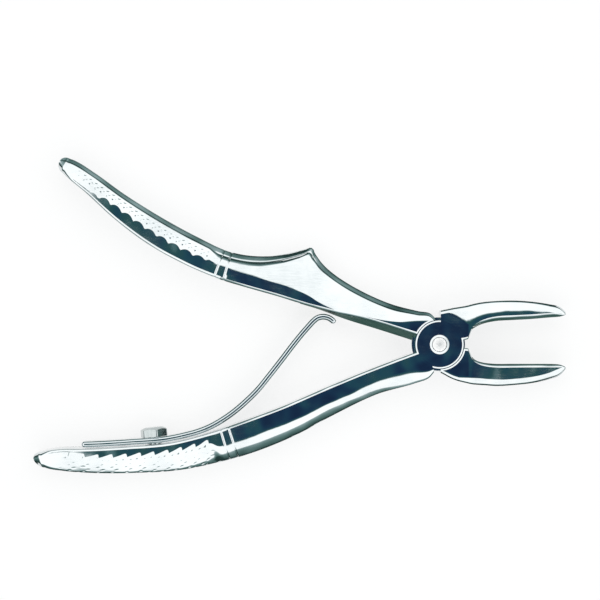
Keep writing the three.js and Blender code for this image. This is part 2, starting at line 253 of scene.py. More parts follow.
def turned(profile: Sequence[tuple[float, float]], steps: int = 96) -> bmesh.types.BMesh:
    """Turns a profile about the Z axis.

    Args:
        profile: Radius and height of each point, from the axis and back to it.
        steps: How many steps the full turn has.

    Returns:
        A closed mesh with its faces outwards.
    """
    mesh = bmesh.new()
    last = bmesh.ops.create_vert(mesh, co=(profile[0][0], 0, profile[0][1]))["vert"][0]
    for radius, height in profile[1:]:
        last = bmesh.ops.extrude_vert_indiv(mesh, verts=[last])["verts"][0]
        last.co = (radius, 0, height)
    bmesh.ops.spin(
        mesh,
        geom=mesh.verts[:] + mesh.edges[:],
        cent=(0, 0, 0),
        axis=(0, 0, 1),
        angle=math.tau,
        steps=steps,
        use_merge=True,
    )
    bmesh.ops.remove_doubles(mesh, verts=mesh.verts, dist=MELT)
    bmesh.ops.recalc_face_normals(mesh, faces=mesh.faces)
    return mesh


def blank(name: str, mesh: bmesh.types.BMesh) -> bpy.types.Object:
    """Makes an object of a mesh, still in millimetres, and frees the bmesh."""
    data = bpy.data.meshes.new(name)
    mesh.to_mesh(data)
    mesh.free()
    piece = bpy.data.objects.new(name, data)
    bpy.context.scene.collection.objects.link(piece)
    return piece


def work(target: bpy.types.Object, tool_mesh: bmesh.types.BMesh, cut: Cut) -> None:
    """Joins, removes or intersects a tool solid, and discards the tool.

    Args:
        target: The blank that is worked.
        tool_mesh: The tool solid, in the same millimetres.
        cut: What the tool does.
    """
    tool = blank("tool", tool_mesh)
    step = target.modifiers.new("step", "BOOLEAN")
    step.operation = cut.value
    step.solver = "MANIFOLD"
    step.object = tool
    graph = bpy.context.evaluated_depsgraph_get()
    worked = bpy.data.meshes.new_from_object(target.evaluated_get(graph))
    target.modifiers.remove(step)
    spent, target.data = target.data, worked
    spoiled = tool.data
    bpy.data.objects.remove(tool)
    bpy.data.meshes.remove(spent)
    bpy.data.meshes.remove(spoiled)


@dataclass(frozen=True)
class Shading:
    """Which edges of a finished piece stay crisp."""

    crease: float = 26.0
    grip_crease: float = 75.0
    grips: tuple[tuple[Vector, float], ...] = ()

    def apply(self, mesh: bmesh.types.BMesh) -> None:
        """Shades the faces smooth and keeps edges sharper than the crease angle.

        Args:
            mesh: The piece, in millimetres.
        """
        for face in mesh.faces:
            face.smooth = True
        for edge in mesh.edges:
            middle = (edge.verts[0].co + edge.verts[1].co) / 2
            on_grip = any((middle - spot).length < reach for spot, reach in self.grips)
            limit = self.grip_crease if on_grip else self.crease
            edge.smooth = edge.is_manifold and edge.calc_face_angle(0) < math.radians(limit)


def hand_over(
    piece: bpy.types.Object,
    finishes: Sequence[bpy.types.Material],
    shading: Shading,
    choose: Callable[[bmesh.types.BMFace], int] | None = None,
) -> bpy.types.Object:
    """Cleans, shades and dresses a piece, and scales it to metres.

    Args:
        piece: The piece, in millimetres.
        finishes: Its materials, the main one first.
        shading: Which edges stay crisp.
        choose: Gives the number of a face's material; left out, all take the first.

    Returns:
        The same piece.
    """
    mesh = bmesh.new()
    mesh.from_mesh(piece.data)
    bmesh.ops.remove_doubles(mesh, verts=mesh.verts, dist=SLIVER)
    bmesh.ops.dissolve_degenerate(mesh, edges=mesh.edges, dist=SLIVER)
    wide = [face for face in mesh.faces if len(face.verts) > 4]
    bmesh.ops.triangulate(mesh, faces=wide)
    bmesh.ops.recalc_face_normals(mesh, faces=mesh.faces)
    shading.apply(mesh)
    piece.data.materials.clear()
    for finish in finishes:
        piece.data.materials.append(finish)
    for face in mesh.faces:
        face.material_index = choose(face) if choose else 0
    open_edges = sum(1 for edge in mesh.edges if not edge.is_manifold)
    bmesh.ops.scale(mesh, vec=(METRES, METRES, METRES), verts=mesh.verts)
    mesh.to_mesh(piece.data)
    mesh.free()
    log.info("%s: %d faces, %d open edges", piece.name, len(piece.data.polygons), open_edges)
    return piece


# ---------------------------------------------------------------- cross-sections


@dataclass(frozen=True)
class Band:
    """A strip along a forging's side: its width and how steeply it falls, in degrees."""

    width: float
    outer_tilt: float
    inner_tilt: float
    steps: int = 3

    def eased(self, share: float) -> "Band":
        """The same band lying flatter, its tilts taken down to a share."""
        return Band(self.width, self.outer_tilt * share, self.inner_tilt * share, self.steps)

    def towards(self, other: "Band", share: float) -> "Band":
        """A band part of the way from this one to another with as many steps."""
        return Band(
            self.width + (other.width - self.width) * share,
            self.outer_tilt + (other.outer_tilt - self.outer_tilt) * share,
            self.inner_tilt + (other.inner_tilt - self.inner_tilt) * share,
            self.steps,
        )


@dataclass(frozen=True)
class Section:
    """A forging's cross-section: flat and crowned faces, banded outer side, bevelled inner edge."""

    inner: float
    outer: float
    half: float
    flat: float
    side: float
    bands: tuple[Band, ...]
    draft: float = 0.0
    lift: float = 0.0
    hollow: float = 0.0
    brow: float = 0.0
    shoulder: float = 29.0
    bevel: float = 0.4
    bevel_tilt: float = 27.0
    lip: float = 0.2
    lip_tilt: float = 41.5
    lip_share: float = 0.06

    CROWN_STEPS = 44
    FLAT_STEPS = 12
    WALL_STEPS = 6
    BEVEL_LIMIT = 0.14
    SIDE_LIMIT = 0.34
    FLAT_LIMIT = 0.92
    SIDE_DROP_LIMIT = 0.62
    DROP_LIMIT = 0.92

    def face(self, set_back: float) -> list[tuple[float, float, float]]:
        """The front half from the middle of the outer side to the inner edge.

        Args:
            set_back: How far the inner edge stands back from the inner contour.

        Returns:
            Distance across, height, and distance round from the flat's edge, for each
            point. The last is negative on the flat.
        """
        width = self.outer - self.inner - set_back
        bevel = min(self.bevel, self.BEVEL_LIMIT * width)
        lip = min(self.lip, self.lip_share * width)
        start = self.inner + set_back + lip + bevel
        full = sum(band.width for band in self.bands)
        scale = min(self.side, self.SIDE_LIMIT * width) / full
        ledge = self.outer - full * scale
        edge = start + max(0.0, min(self.flat, self.FLAT_LIMIT * (ledge - start)))
        top = self.half + self.lift
        crown, side = self._crown(ledge - edge), self._side(scale)
        side_drop, crown_drop = side[-1][1], crown[-1][1]
        side_share = min(1.0, self.SIDE_DROP_LIMIT * self.half / side_drop)
        room = self.DROP_LIMIT * self.half + self.lift - side_drop * side_share
        crown_share = min(1.0, room / crown_drop)
        points = [(edge + y, top - drop * crown_share) for y, drop in crown]
        last = points[-1][1]
        points += [(ledge + y, last - drop * side_share) for y, drop in side[1:]]
        points += [(self.outer, points[-1][1] / 2), (self.outer, 0.0)]
        turn, placed = 0.0, []
        for k, (y, z) in enumerate(points):
            turn += math.dist((y, z), points[k - 1]) if k else 0.0
            placed.append((y, z, turn))
        placed.reverse()
        for k in range(1, self.FLAT_STEPS + 1):
            placed.append((edge + (start - edge) * k / self.FLAT_STEPS, top, -1.0))
        foot = self.half - bevel * slope(self.bevel_tilt)
        placed.append((start - bevel, foot, -2.0))
        placed.append((start - bevel - lip, foot - lip * slope(self.lip_tilt), -2.0))
        return placed

    def _crown(self, span: float) -> Outline:
        """The crown as distance out from the flat's edge and drop below it."""
        drop, points = 0.0, [(0.0, 0.0)]
        for k in range(self.CROWN_STEPS):
            share = (k + 0.5) / self.CROWN_STEPS
            tilt = self.brow + (self.shoulder - self.brow) * share
            drop += slope(tilt) * span / self.CROWN_STEPS
            points.append((span * (k + 1) / self.CROWN_STEPS, drop))
        return points

    def _side(self, scale: float) -> Outline:
        """The side bands as distance out from the crown and drop below it."""
        out, drop, points = 0.0, 0.0, [(0.0, 0.0)]
        for band in reversed(self.bands):
            for k in range(band.steps):
                share = (k + 0.5) / band.steps
                tilt = band.inner_tilt + (band.outer_tilt - band.inner_tilt) * share
                step = band.width * scale / band.steps
                out, drop = out + step, drop + slope(tilt) * step
                points.append((out, drop))
        return points

    def ring(self, sink: Callable[[float], float]) -> Outline:
        """The whole outline, with grip teeth sunk into it.

        Args:
            sink: Gives how deep the surface is cut at a distance round from the flat's edge.

        Returns:
            Distance across and height of each point of the closed outline.
        """
        front = self._cut(self.face(self.draft), sink)
        back = self._cut(self.face(0.0), sink)
        top, low = front[-1][1], back[-1][1]
        wall = []
        for k in range(1, self.WALL_STEPS):
            share = k / self.WALL_STEPS
            z = top - (top + low) * share
            y = front[-1][0] + (back[-1][0] - front[-1][0]) * share
            wall.append((y + self.hollow * (1 - (2 * share - 1) ** 2), z))
        return front + wall + [(y, -z) for y, z in reversed(back[1:])]

    def _cut(self, face: list[tuple[float, float, float]], sink: Callable[[float], float]) -> Outline:
        """Sinks the grip teeth along the surface's own normal, then planes the face flat."""
        cut = []
        for k, (y, z, turn) in enumerate(face):
            depth = sink(turn) if turn >= 0 else 0.0
            if depth and 1 < k:
                normal = outward(face[k - 1], face[k + 1])
                y, z = y - normal.x * depth, z - normal.y * depth
            elif depth:
                y -= depth
            cut.append((y, min(z, self.half)))
        return cut


@dataclass(frozen=True)
class Datum:
    """A line in the plane of the forceps: distance along it, and distance out from it."""

    angle: float
    outwards: int

    def point(self, along: float, across: float, z: float) -> Vector:
        """The place at a distance along the line and across it, at height z."""
        turn = math.radians(self.angle)
        line = Vector((math.cos(turn), math.sin(turn), 0.0))
        out = Vector((-line.y, line.x, 0.0)) * self.outwards
        return line * along + out * across + Vector((0.0, 0.0, z))


# ---------------------------------------------------------------- grips


class Tooth(Enum):
    """The outline that a row of grip teeth shows against the flat."""

    RATCHET = "ratchet"
    SCALLOP = "scallop"


@dataclass(frozen=True)
class Grip:
    """Teeth cut across a handle's crowned face, with short slanted nicks between them.

    The default nicks run right across the crown and over the side bands.
    """

    start: float = 59.0
    end: float = 99.0
    fade_in: float = 2.0
    fade_out: float = 3.5
    pitch: float = 3.35
    tooth: Tooth = Tooth.RATCHET
    tooth_depth: float = 0.26
    tooth_reach: tuple[float, float] = (0.9, 2.4)
    lean: float = -0.5
    bite: float = 0.13
    scallop_round: float = 0.8
    nick_depth: float = 0.065
    nick_row: float = 0.72
    nick_length: float = 0.45
    nick_width: float = 0.13
    nick_pitch: float = 3.35
    nick_slant: float = 22.0
    nick_scatter: float = 0.13
    nick_wander: float = 2.3
    first_row: int = 2
    nick_reach: tuple[float, float] = (30.0, 31.0)

    def strength(self, along: float) -> float:
        """How fully the teeth are cut at a distance along the handle, from 0 to 1."""
        return smooth_step(self.start, self.start + self.fade_in, along) * (
            1 - smooth_step(self.end - self.fade_out, self.end, along)
        )

    def depth(self, along: float, turn: float) -> float:
        """How deep the surface is cut.

        Args:
            along: Distance along the handle.
            turn: Distance round from the flat's edge.

        Returns:
            The depth, in millimetres.
        """
        strength = self.strength(along)
        if strength == 0:
            return 0.0
        phase = (-along - self.lean * turn) / self.pitch
        phase -= math.floor(phase)
        if self.tooth is Tooth.RATCHET:
            cut = phase / (1 - self.bite) if phase < 1 - self.bite else (1 - phase) / self.bite
        else:
            cut = 1 - abs(math.sin(math.pi * phase)) ** self.scallop_round
        cut *= 1 - smooth_step(*self.tooth_reach, turn)
        nick = self._nick(along, turn) * (1 - smooth_step(*self.nick_reach, turn))
        return strength * (self.tooth_depth * cut + self.nick_depth * nick)

    def _nick(self, along: float, turn: float) -> float:
        """The nearest nick's share of its full depth."""
        row = round(turn / self.nick_row)
        if row < self.first_row:
            return 0.0
        shift = 0.5 * (row % 2) + self.nick_scatter * math.sin(row * self.nick_wander)
        place = -along / self.nick_pitch + shift
        u = (place - round(place)) * self.nick_pitch
        v = turn - row * self.nick_row
        slant = math.radians(self.nick_slant)
        along_nick = u * math.cos(slant) - v * math.sin(slant)
        across_nick = u * math.sin(slant) + v * math.cos(slant)
        return math.exp(-((along_nick / self.nick_length) ** 2) - (across_nick / self.nick_width) ** 2)


@dataclass(frozen=True)
class RingGroove:
    """A narrow V-shaped groove round a handle, square to the handle's own run."""

    along: float
    depth: float = 0.11
    reach: float = 0.24

    def depth_at(self, distance: float) -> float:
        """The groove's depth at a distance from its middle."""
        return self.depth * max(0.0, 1 - abs(distance) / self.reach)


# ---------------------------------------------------------------- handles


@dataclass
class Handle:
    """One handle, from its root in the joint to its rounded tip."""

    datum: Datum
    shares: tuple[float, ...]
    inner: tuple[float, ...]
    outer: tuple[float, ...]
    depth: tuple[float, ...]
    flat: Curve
    side: Ease
    draft: Ease
    lift: Ease
    brow: Ease
    shoulder: Ease
    bands: tuple[Band, ...]
    root_bands: tuple[Band, ...]
    band_change: Ease
    grip: Grip
    length: float = 103.0
    root: float = 3.1
    grooves: tuple[RingGroove, ...] = (RingGroove(54.9), RingGroove(57.0))
    tip: float = 1.5
    tip_slope: float = 0.33
    tip_round: float = 2.0
    tip_blunt: float = 0.97
    tip_ease: float = 0.35
    lip: float = 0.2
    lip_tilt: float = 41.5
    lip_share: float = 0.06
    rim: tuple[float, float] = (5.0, 1.5)
    rim_lip: float = 0.5
    rim_tilt: float = 9.0
    rim_share: float = 0.14
    probe: float = 0.5
    groove_span: float = 3.0
    groove_reach: float = 1.2
    grip_lead: float = 0.6
    end_reach: float = 0.4
    step: float = 0.55
    grip_step: float = 0.2
    groove_step: float = 0.1
    tip_step: float = 0.08
    end_step: float = 0.04

    def __post_init__(self) -> None:
        """Sets up the smooth curves of the handle's faces."""
        places = tuple(self.root + share * (self.length - self.root) for share in self.shares)
        self.inner_curve = Curve(places, self.inner)
        self.outer_curve = Curve(places, self.outer)
        self.depth_curve = Curve(places, self.depth)

    def inner_face(self, along: float, lift: float = 0.0) -> tuple[Vector, Vector]:
        """A point on the inner face and the direction that leaves the face there.

        Args:
            along: Distance along the handle.
            lift: How far off the face the point stands.

        Returns:
            The point and the direction.
        """
        before, after = (
            self.datum.point(place, self.inner_curve.at(place), 0)
            for place in (along - self.probe, along + self.probe)
        )
        way = (after - before).normalized()
        leave = Vector((-way.y, way.x, 0)) * -self.datum.outwards
        spot = self.datum.point(along, self.inner_curve.at(along), 0)
        return spot + leave * lift, leave

    def middle(self, along: float) -> float:
        """How far the handle's middle line stands from the datum."""
        return (self.inner_curve.at(along) + self.outer_curve.at(along)) / 2

    def section(self, along: float) -> Section:
        """The handle's cross-section at a distance along it.

        Past the start of the tip the section narrows to a blunt round end, its slopes
        ease, and the inner edge's lip widens to a rim.

        Args:
            along: Distance along the handle.

        Returns:
            The cross-section.
        """
        inner, outer = self.inner_curve.at(along), self.outer_curve.at(along)
        half = min(self.depth_curve.at(along), THICKNESS) / 2
        fall = self.tip_slope * max(0.0, along - (self.length - self.tip))
        middle, close, ease = (inner + outer) / 2, 1.0, 1.0
        rim = smooth_step(self.length - self.rim[0], self.length - self.rim[1], along)
        blunt = self.length - self.tip_round
        if blunt < along:
            end = (along - blunt) / self.tip_round
            reach = (self.outer_curve.at(blunt) - self.inner_curve.at(blunt)) / 2
            close = reach * math.sqrt(1 - self.tip_blunt * end * end) / ((outer - inner) / 2)
            ease = 1 - self.tip_ease * end
        change = self.band_change.at(along)
        bands = tuple(a.towards(b, change).eased(ease) for a, b in zip(self.root_bands, self.bands))
        return Section(
            inner=middle + (inner - middle) * close,
            outer=middle + (outer - middle) * close,
            half=half - fall,
            flat=self.flat.at(along),
            side=self.side.at(along),
            bands=bands,
            draft=self.draft.at(along) * close,
            lift=self.lift.at(along),
            brow=self.brow.at(along),
            shoulder=self.shoulder.at(along) * ease,
            lip=self.lip + self.rim_lip * rim,
            lip_tilt=self.lip_tilt * ease - self.rim_tilt * rim,
            lip_share=self.lip_share + self.rim_share * rim,
        )

    def places(self) -> list[float]:
        """Distances along the handle of its rings, close together where it is cut."""
        spots, along = [], self.root
        while along < self.length - 1e-6:
            spots.append(along)
            if any(abs(along - groove.along) < self.groove_reach for groove in self.grooves):
                along += self.groove_step
            elif self.length - self.end_reach < along:
                along += self.end_step
            elif self.length - self.tip_round < along:
                along += self.tip_step
            elif self.grip.start - self.grip_lead < along:
                along += self.grip_step
            else:
                along += self.step
        return spots + [self.length]

    def mesh(self) -> bmesh.types.BMesh:
        """Skins the handle over its cross-sections."""
        rings = []
        for along in self.places():
            section = self.section(along)
            outline = section.ring(lambda turn, at=along: self.grip.depth(at, turn))
            outline = self._grooved(along, outline)
            rings.append([self.datum.point(along, y, MIDPLANE + z) for y, z in outline])
        return skin(rings)

    def _grooved(self, along: float, outline: Outline) -> Outline:
        """Sinks the ring grooves into an outline."""
        near = [groove for groove in self.grooves if abs(along - groove.along) < self.groove_span]
        if not near:
            return outline
        lean = self.middle(along + self.probe) - self.middle(along - self.probe)
        middle = self.middle(along)
        cut = []
        for k, (y, z) in enumerate(outline):
            normal = outward(outline[k - 1], outline[(k + 1) % len(outline)])
            depth = sum(g.depth_at(along - g.along + (y - middle) * lean) for g in near)
            cut.append((y - normal.x * depth, z - normal.y * depth))
        return cut


# ---------------------------------------------------------------- beaks


@dataclass
class Beak:
    """One beak, from its root in the joint to its blunt tip."""

    datum: Datum
    corner: float
    stop_angle: float
    inner: tuple[float, ...]
    outer: tuple[float, ...]
    edge: Curve
    draft: Ease
    brow: Ease
    along: tuple[float, ...] = (3.5, 7, 7.9, 9.4, 11, 14, 18.5, 23, 27, 29.6, 31)
    depth: tuple[float, ...] = (8.6, 8.6, 8.5, 8.3, 8.05, 7.55, 6.85, 6.15, 5.5, 5.05, 4.8)
    hollow: tuple[float, ...] = (0, 0, 0, 0.1, 0.4, 0.9, 1.1, 1, 0.8, 0.6, 0.3)
    side: Ease = Ease((0.3, 20, 31), (0.34, 0.38, 0.55))
    bands: tuple[Band, ...] = (Band(0.3, 42.0, 40.5, 2),)
    root: float = 0.3
    stop_end: float = 7.0
    ridge_pitch: float = 0.8
    ridge_depth: float = 0.12
    ridge_start: tuple[float, float] = (11.5, 13.0)
    ridge_end: tuple[float, float] = (28.6, 29.6)
    hollow_share: float = 0.75
    tip: float = 1.0
    tip_blunt: float = 0.6
    throat: tuple[float, float] = (6.5, 9.5)
    step: float = 0.2
    fine_step: float = 0.1

    def __post_init__(self) -> None:
        """Sets up the smooth curves of the beak's faces."""
        rise = slope(self.stop_angle)
        places = (self.root, *self.along)
        self.inner_curve = Curve(places, (self.root * rise, *self.inner))
        self.outer_curve = Curve(places, (self.corner, *self.outer))
        self.depth_curve = Curve(places, (THICKNESS, *self.depth))
        self.hollow_curve = Ease(places, (0.0, *self.hollow))

    def section(self, along: float) -> Section:
        """The beak's cross-section at a distance along it."""
        inner, outer = self.inner_curve.at(along), self.outer_curve.at(along)
        if along <= self.stop_end:
            inner = along * slope(self.stop_angle)
        half = min(self.depth_curve.at(along), THICKNESS) / 2
        past = max(0.0, (along - (self.along[-1] - self.tip)) / self.tip)
        blunt, fine = self.tip_blunt, 1 - self.tip_blunt
        close = math.sqrt(max(1 - past * past, 0.0)) * fine + blunt
        middle = (inner + outer) / 2
        draft = self.draft.at(along)
        ridge = math.cos(math.tau * along / self.ridge_pitch) * self.ridge_depth
        ridge *= smooth_step(*self.ridge_start, along) * (1 - smooth_step(*self.ridge_end, along))
        return Section(
            inner=middle + (inner - middle) * close,
            outer=middle + (outer - middle) * close,
            half=half * (blunt + fine * close),
            flat=self.edge.at(along) - inner - draft - Section.bevel - Section.lip,
            side=self.side.at(along),
            bands=self.bands,
            draft=draft,
            brow=self.brow.at(along),
            hollow=self.hollow_curve.at(along) * self.hollow_share + ridge,
        )

    def mesh(self) -> bmesh.types.BMesh:
        """Skins the beak over its cross-sections."""
        rings, along = [], self.root
        end = self.along[-1]
        while along < end - 1e-6:
            rings.append(self._ring(along))
            fine = along > end - self.tip or self.throat[0] < along < self.throat[1]
            along += self.fine_step if fine else self.step
        rings.append(self._ring(end))
        return skin(rings)

    def _ring(self, along: float) -> list[Vector]:
        """One ring of the beak."""
        outline = self.section(along).ring(lambda turn: 0.0)
        return [self.datum.point(along, y, MIDPLANE + z) for y, z in outline]


# ---------------------------------------------------------------- the halves


@dataclass(frozen=True)
class Joint:
    """The lap joint's sizes, shared by both halves and the pin."""

    gap: float = 0.1
    front_radius: float = 5.85
    back_radius: float = 6.6
    clearance: float = 0.2
    pin_radius: float = 1.75
    pin_clearance: float = 0.08
    mouth: float = 0.52
    mouth_depth: float = 0.312
    rim: float = 0.34
    rim_drop: float = 0.17
    edge_break: float = 0.12
    dome: float = 0.26
    dome_power: float = 1.5
    dome_steps: int = 8
    pin_corner: float = 0.1
    pin_steps: int = 64
    disc_steps: int = 144
    past: float = 1.0

    def front_disc(self) -> bmesh.types.BMesh:
        """The front lap's round boss, with a bevelled rim."""
        low, high, radius = MIDPLANE + self.gap / 2, THICKNESS, self.front_radius
        rim = [(radius, high - self.rim_drop), (radius - self.rim, high)]
        return turned([(0, low), (radius, low), *rim, (0, high)], self.disc_steps)

    def back_disc(self) -> bmesh.types.BMesh:
        """The back lap's round boss, with a bevelled rim."""
        high, radius = MIDPLANE - self.gap / 2, self.back_radius
        rim = [(radius - self.rim, 0), (radius, self.rim_drop)]
        inside = [(radius, high - self.edge_break), (radius - self.edge_break, high)]
        return turned([(0, 0), *rim, *inside, (0, high)], self.disc_steps)

    def room_for_back(self) -> bmesh.types.BMesh:
        """What the spring-side half gives up for the back disc."""
        radius, high = self.back_radius + self.clearance, MIDPLANE + self.gap / 2
        flare = radius + self.rim * (1 + self.past / self.rim_drop)
        wall = [(flare, -self.past), (radius, self.rim_drop), (radius, high)]
        return turned([(0, -self.past), *wall, (0, high)], self.disc_steps)

    def room_for_front(self) -> bmesh.types.BMesh:
        """What the spur-side half gives up for the front disc."""
        radius, low = self.front_radius + self.clearance, MIDPLANE - self.gap / 2
        high, top = THICKNESS - self.rim_drop, THICKNESS + self.past
        flare = radius + self.rim * (1 + self.past / self.rim_drop)
        wall = [(radius, low), (radius, high), (flare, top)]
        return turned([(0, low), *wall, (0, top)], self.disc_steps)

    def pinhole(self, front: bool) -> bmesh.types.BMesh:
        """The hole for the pin, with a bevelled mouth.

        Args:
            front: True for the mouth on the front face, False for the one on the back.

        Returns:
            The solid that is removed.
        """
        radius, reach = self.pin_radius + self.pin_clearance, self.mouth_depth
        wide = radius + self.mouth * (1 + self.past / reach)
        low, top = -self.past, THICKNESS + self.past
        wall = [(wide, low), (radius, reach), (radius, top)]
        if front:
            wall = [(radius, low), (radius, THICKNESS - reach), (wide, top)]
        return turned([(0, low), *wall, (0, top)])

    def pin(self) -> bmesh.types.BMesh:
        """The riveted pin, its ends faced to a very shallow dome."""
        radius, high = self.pin_radius, THICKNESS
        dome, corner, steps = self.dome, self.pin_corner, self.dome_steps
        arc = [(radius - corner) * k / steps for k in range(steps + 1)]
        low_end = [(r, dome * (r / radius) ** self.dome_power) for r in arc]
        side = [(radius, dome + corner), (radius, high - dome - corner)]
        high_end = [(r, high - z) for r, z in reversed(low_end)]
        return turned([*low_end, *side, *high_end], self.pin_steps)


@dataclass(frozen=True)
class GroundFacesWithPaintedReflection:
    """Picks the faces of a half that are ground and left unpolished; their dark teal tone is painted
    reflection of the dark surroundings.
    """

    directions: tuple[tuple[Vector, float, float], ...]
    limit: float = 0.72

    def choose(self, face: bmesh.types.BMFace) -> int:
        """Gives 1 for a gripping face or a handle's inner flank, and 0 elsewhere."""
        x = face.calc_center_median().x
        for inwards, low, high in self.directions:
            if low < x < high and face.normal.dot(inwards) > self.limit:
                return 1
        return 0


@dataclass
class Half:
    """One forging: a handle and a beak on opposite sides of its lap."""

    name: str
    handle: Handle
    beak: Beak
    joint: Joint
    front: bool
    # The faces that take the ground finish, with its painted dark reflection.
    ground_and_painted_reflection: GroundFacesWithPaintedReflection
    grips: tuple[tuple[Vector, float], ...]

    def build(self, extra: Iterable[bmesh.types.BMesh] = ()) -> bpy.types.Object:
        """Joins handle, beak and lap, and cuts the joint.

        Args:
            extra: Further solids to remove.

        Returns:
            The half, in millimetres.
        """
        half = blank(self.name, self.handle.mesh())
        work(half, self.beak.mesh(), Cut.JOIN)
        joint = self.joint
        room, disc = (
            (joint.room_for_back(), joint.front_disc())
            if self.front
            else (joint.room_for_front(), joint.back_disc())
        )
        work(half, room, Cut.REMOVE)
        work(half, disc, Cut.JOIN)
        work(half, joint.pinhole(self.front), Cut.REMOVE)
        for tool in extra:
            work(half, tool, Cut.REMOVE)
        return half

    def dress(self, half: bpy.types.Object, finishes: Sequence[bpy.types.Material]) -> None:
        """Shades the half and gives it its finishes, the polished one first."""
        hand_over(half, finishes, Shading(grips=self.grips), self.ground_and_painted_reflection.choose)


# ---------------------------------------------------------------- leaf spring and screw


@dataclass
class LeafSpring:
    """The bent strip: tail, clamped foot, rising blade and hooked end."""

    spring_handle: Handle
    spur_handle: Handle
    thickness: float = 1.4
    width: float = 5.6
    seat_gap: float = 0.15
    tail: float = 91.0
    lift_off: float = 63.2
    bearing: float = 27.4
    bearing_gap: float = 0.4
    hook_radius: float = 3.3
    hook_lead: float = 51.0
    hook_trail: float = 38.0
    near_edge: Pairs = ((0.2, 0.0), (0.05, 14.0), (0.1, 25.0), (0.08, 27.0), (0.27, 41.0))
    far_edge: Pairs = ((0.2, 0.0), (0.05, 16.0), (0.1, 32.0), (0.08, 33.5), (0.27, 41.5))
    rise: Pairs = (
        (0.08, 1.35), (0.16, 2.2), (0.25, 2.75), (0.35, 2.95), (0.45, 2.85),
        (0.56, 2.25), (0.68, 1.5), (0.8, 0.7), (0.91, 0.15),
    )
    foot_steps: int = 12
    hook_steps: int = 10
    end_thin: float = 0.03
    end_round: float = 0.56
    probe: float = 0.2
    search_steps: int = 600
    step: float = 0.45
    end_step: float = 0.07

    def stops(self) -> list[Vector]:
        """Points of the centre line, from the tail to the end of the hook."""
        stand_off = self.seat_gap + self.thickness / 2
        foot = []
        for k in range(self.foot_steps + 1):
            along = self.tail + (self.lift_off - self.tail) * k / self.foot_steps
            foot.append(self.spring_handle.inner_face(along, stand_off)[0])
        reach = self.bearing_gap + self.thickness / 2 + self.hook_radius
        centre, leave = self.spur_handle.inner_face(self.bearing, reach)
        facing = math.atan2(-leave.y, -leave.x)
        hook = []
        for k in range(self.hook_steps + 1):
            sweep = self.hook_lead - (self.hook_lead + self.hook_trail) * k / self.hook_steps
            angle = facing + math.radians(sweep)
            hook.append(centre + Vector((math.cos(angle), math.sin(angle), 0)) * self.hook_radius)
        chord = hook[0] - foot[-1]
        below = Vector((chord.y, -chord.x, 0)).normalized()
        blade = [foot[-1] + chord * share + below * sag for share, sag in self.rise]
        return foot + blade + hook

    def centre_line(self) -> tuple[Curve, Curve, float]:
        """The smooth centre line as two curves over its length."""
        stops = self.stops()
        places = [0.0]
        for before, after in zip(stops, stops[1:]):
            places.append(places[-1] + (after - before).length)
        xs = Curve(tuple(places), tuple(p.x for p in stops))
        ys = Curve(tuple(places), tuple(p.y for p in stops))
        return xs, ys, places[-1]

    def mesh(self) -> bmesh.types.BMesh:
        """Skins the strip over its centre line, with rounded ends."""
        xs, ys, length = self.centre_line()
        rings, place = [], 0.0
        end = self.thickness / 2
        while place < length:
            rings.append(self._ring(xs, ys, place, length))
            place += self.end_step if min(place, length - place) < end else self.step
        rings.append(self._ring(xs, ys, length, length))
        return skin(rings)

    def _ring(self, xs: Curve, ys: Curve, place: float, length: float) -> list[Vector]:
        """One rounded-rectangle ring across the strip."""
        before, after = place - self.probe, place + self.probe
        way = Vector((xs.at(after) - xs.at(before), ys.at(after) - ys.at(before), 0))
        across = Vector((-way.y, way.x, 0)).normalized()
        past = max(0.0, 1 - min(place, length - place) / (self.thickness / 2))
        close = math.sqrt(max(1 - past * past, 0.0)) * (1 - self.end_thin) + self.end_thin
        half_w = self.width / 2 - self.end_round * (1 - close)
        centre = Vector((xs.at(place), ys.at(place), MIDPLANE))
        near, far = self._edge(self.near_edge), self._edge(self.far_edge)
        over = [*reversed(near), *((-t, drop) for t, drop in far)]
        top = [(across * t * close, Vector((0, 0, half_w - drop * close))) for t, drop in over]
        return [centre + out + up for out, up in top] + [centre + out - up for out, up in reversed(top)]

    def _edge(self, slopes: Pairs) -> Outline:
        """One side of the strip's rounded edge: distance from its middle and drop."""
        out, drop, points = 0.0, 0.0, []
        for width, tilt in slopes:
            out, drop = out + width, drop + width * slope(tilt)
            points.append((out, drop))
        return points

    def bend_span(self, pivot: Vector, reach: float) -> tuple[Vector, Vector]:
        """Where the strip starts and stops bending.

        Args:
            pivot: The point that the blade turns about.
            reach: Half the length of strip that bends.

        Returns:
            The two ends of the span, on the strip's own line.
        """
        xs, ys, length = self.centre_line()
        nearest = min(
            (length * k / self.search_steps for k in range(self.search_steps)),
            key=lambda place: math.dist((xs.at(place), ys.at(place)), (pivot.x, pivot.y)),
        )
        start, end = (
            Vector((xs.at(place), ys.at(place), MIDPLANE))
            for place in (nearest - reach, nearest + reach)
        )
        return start, end


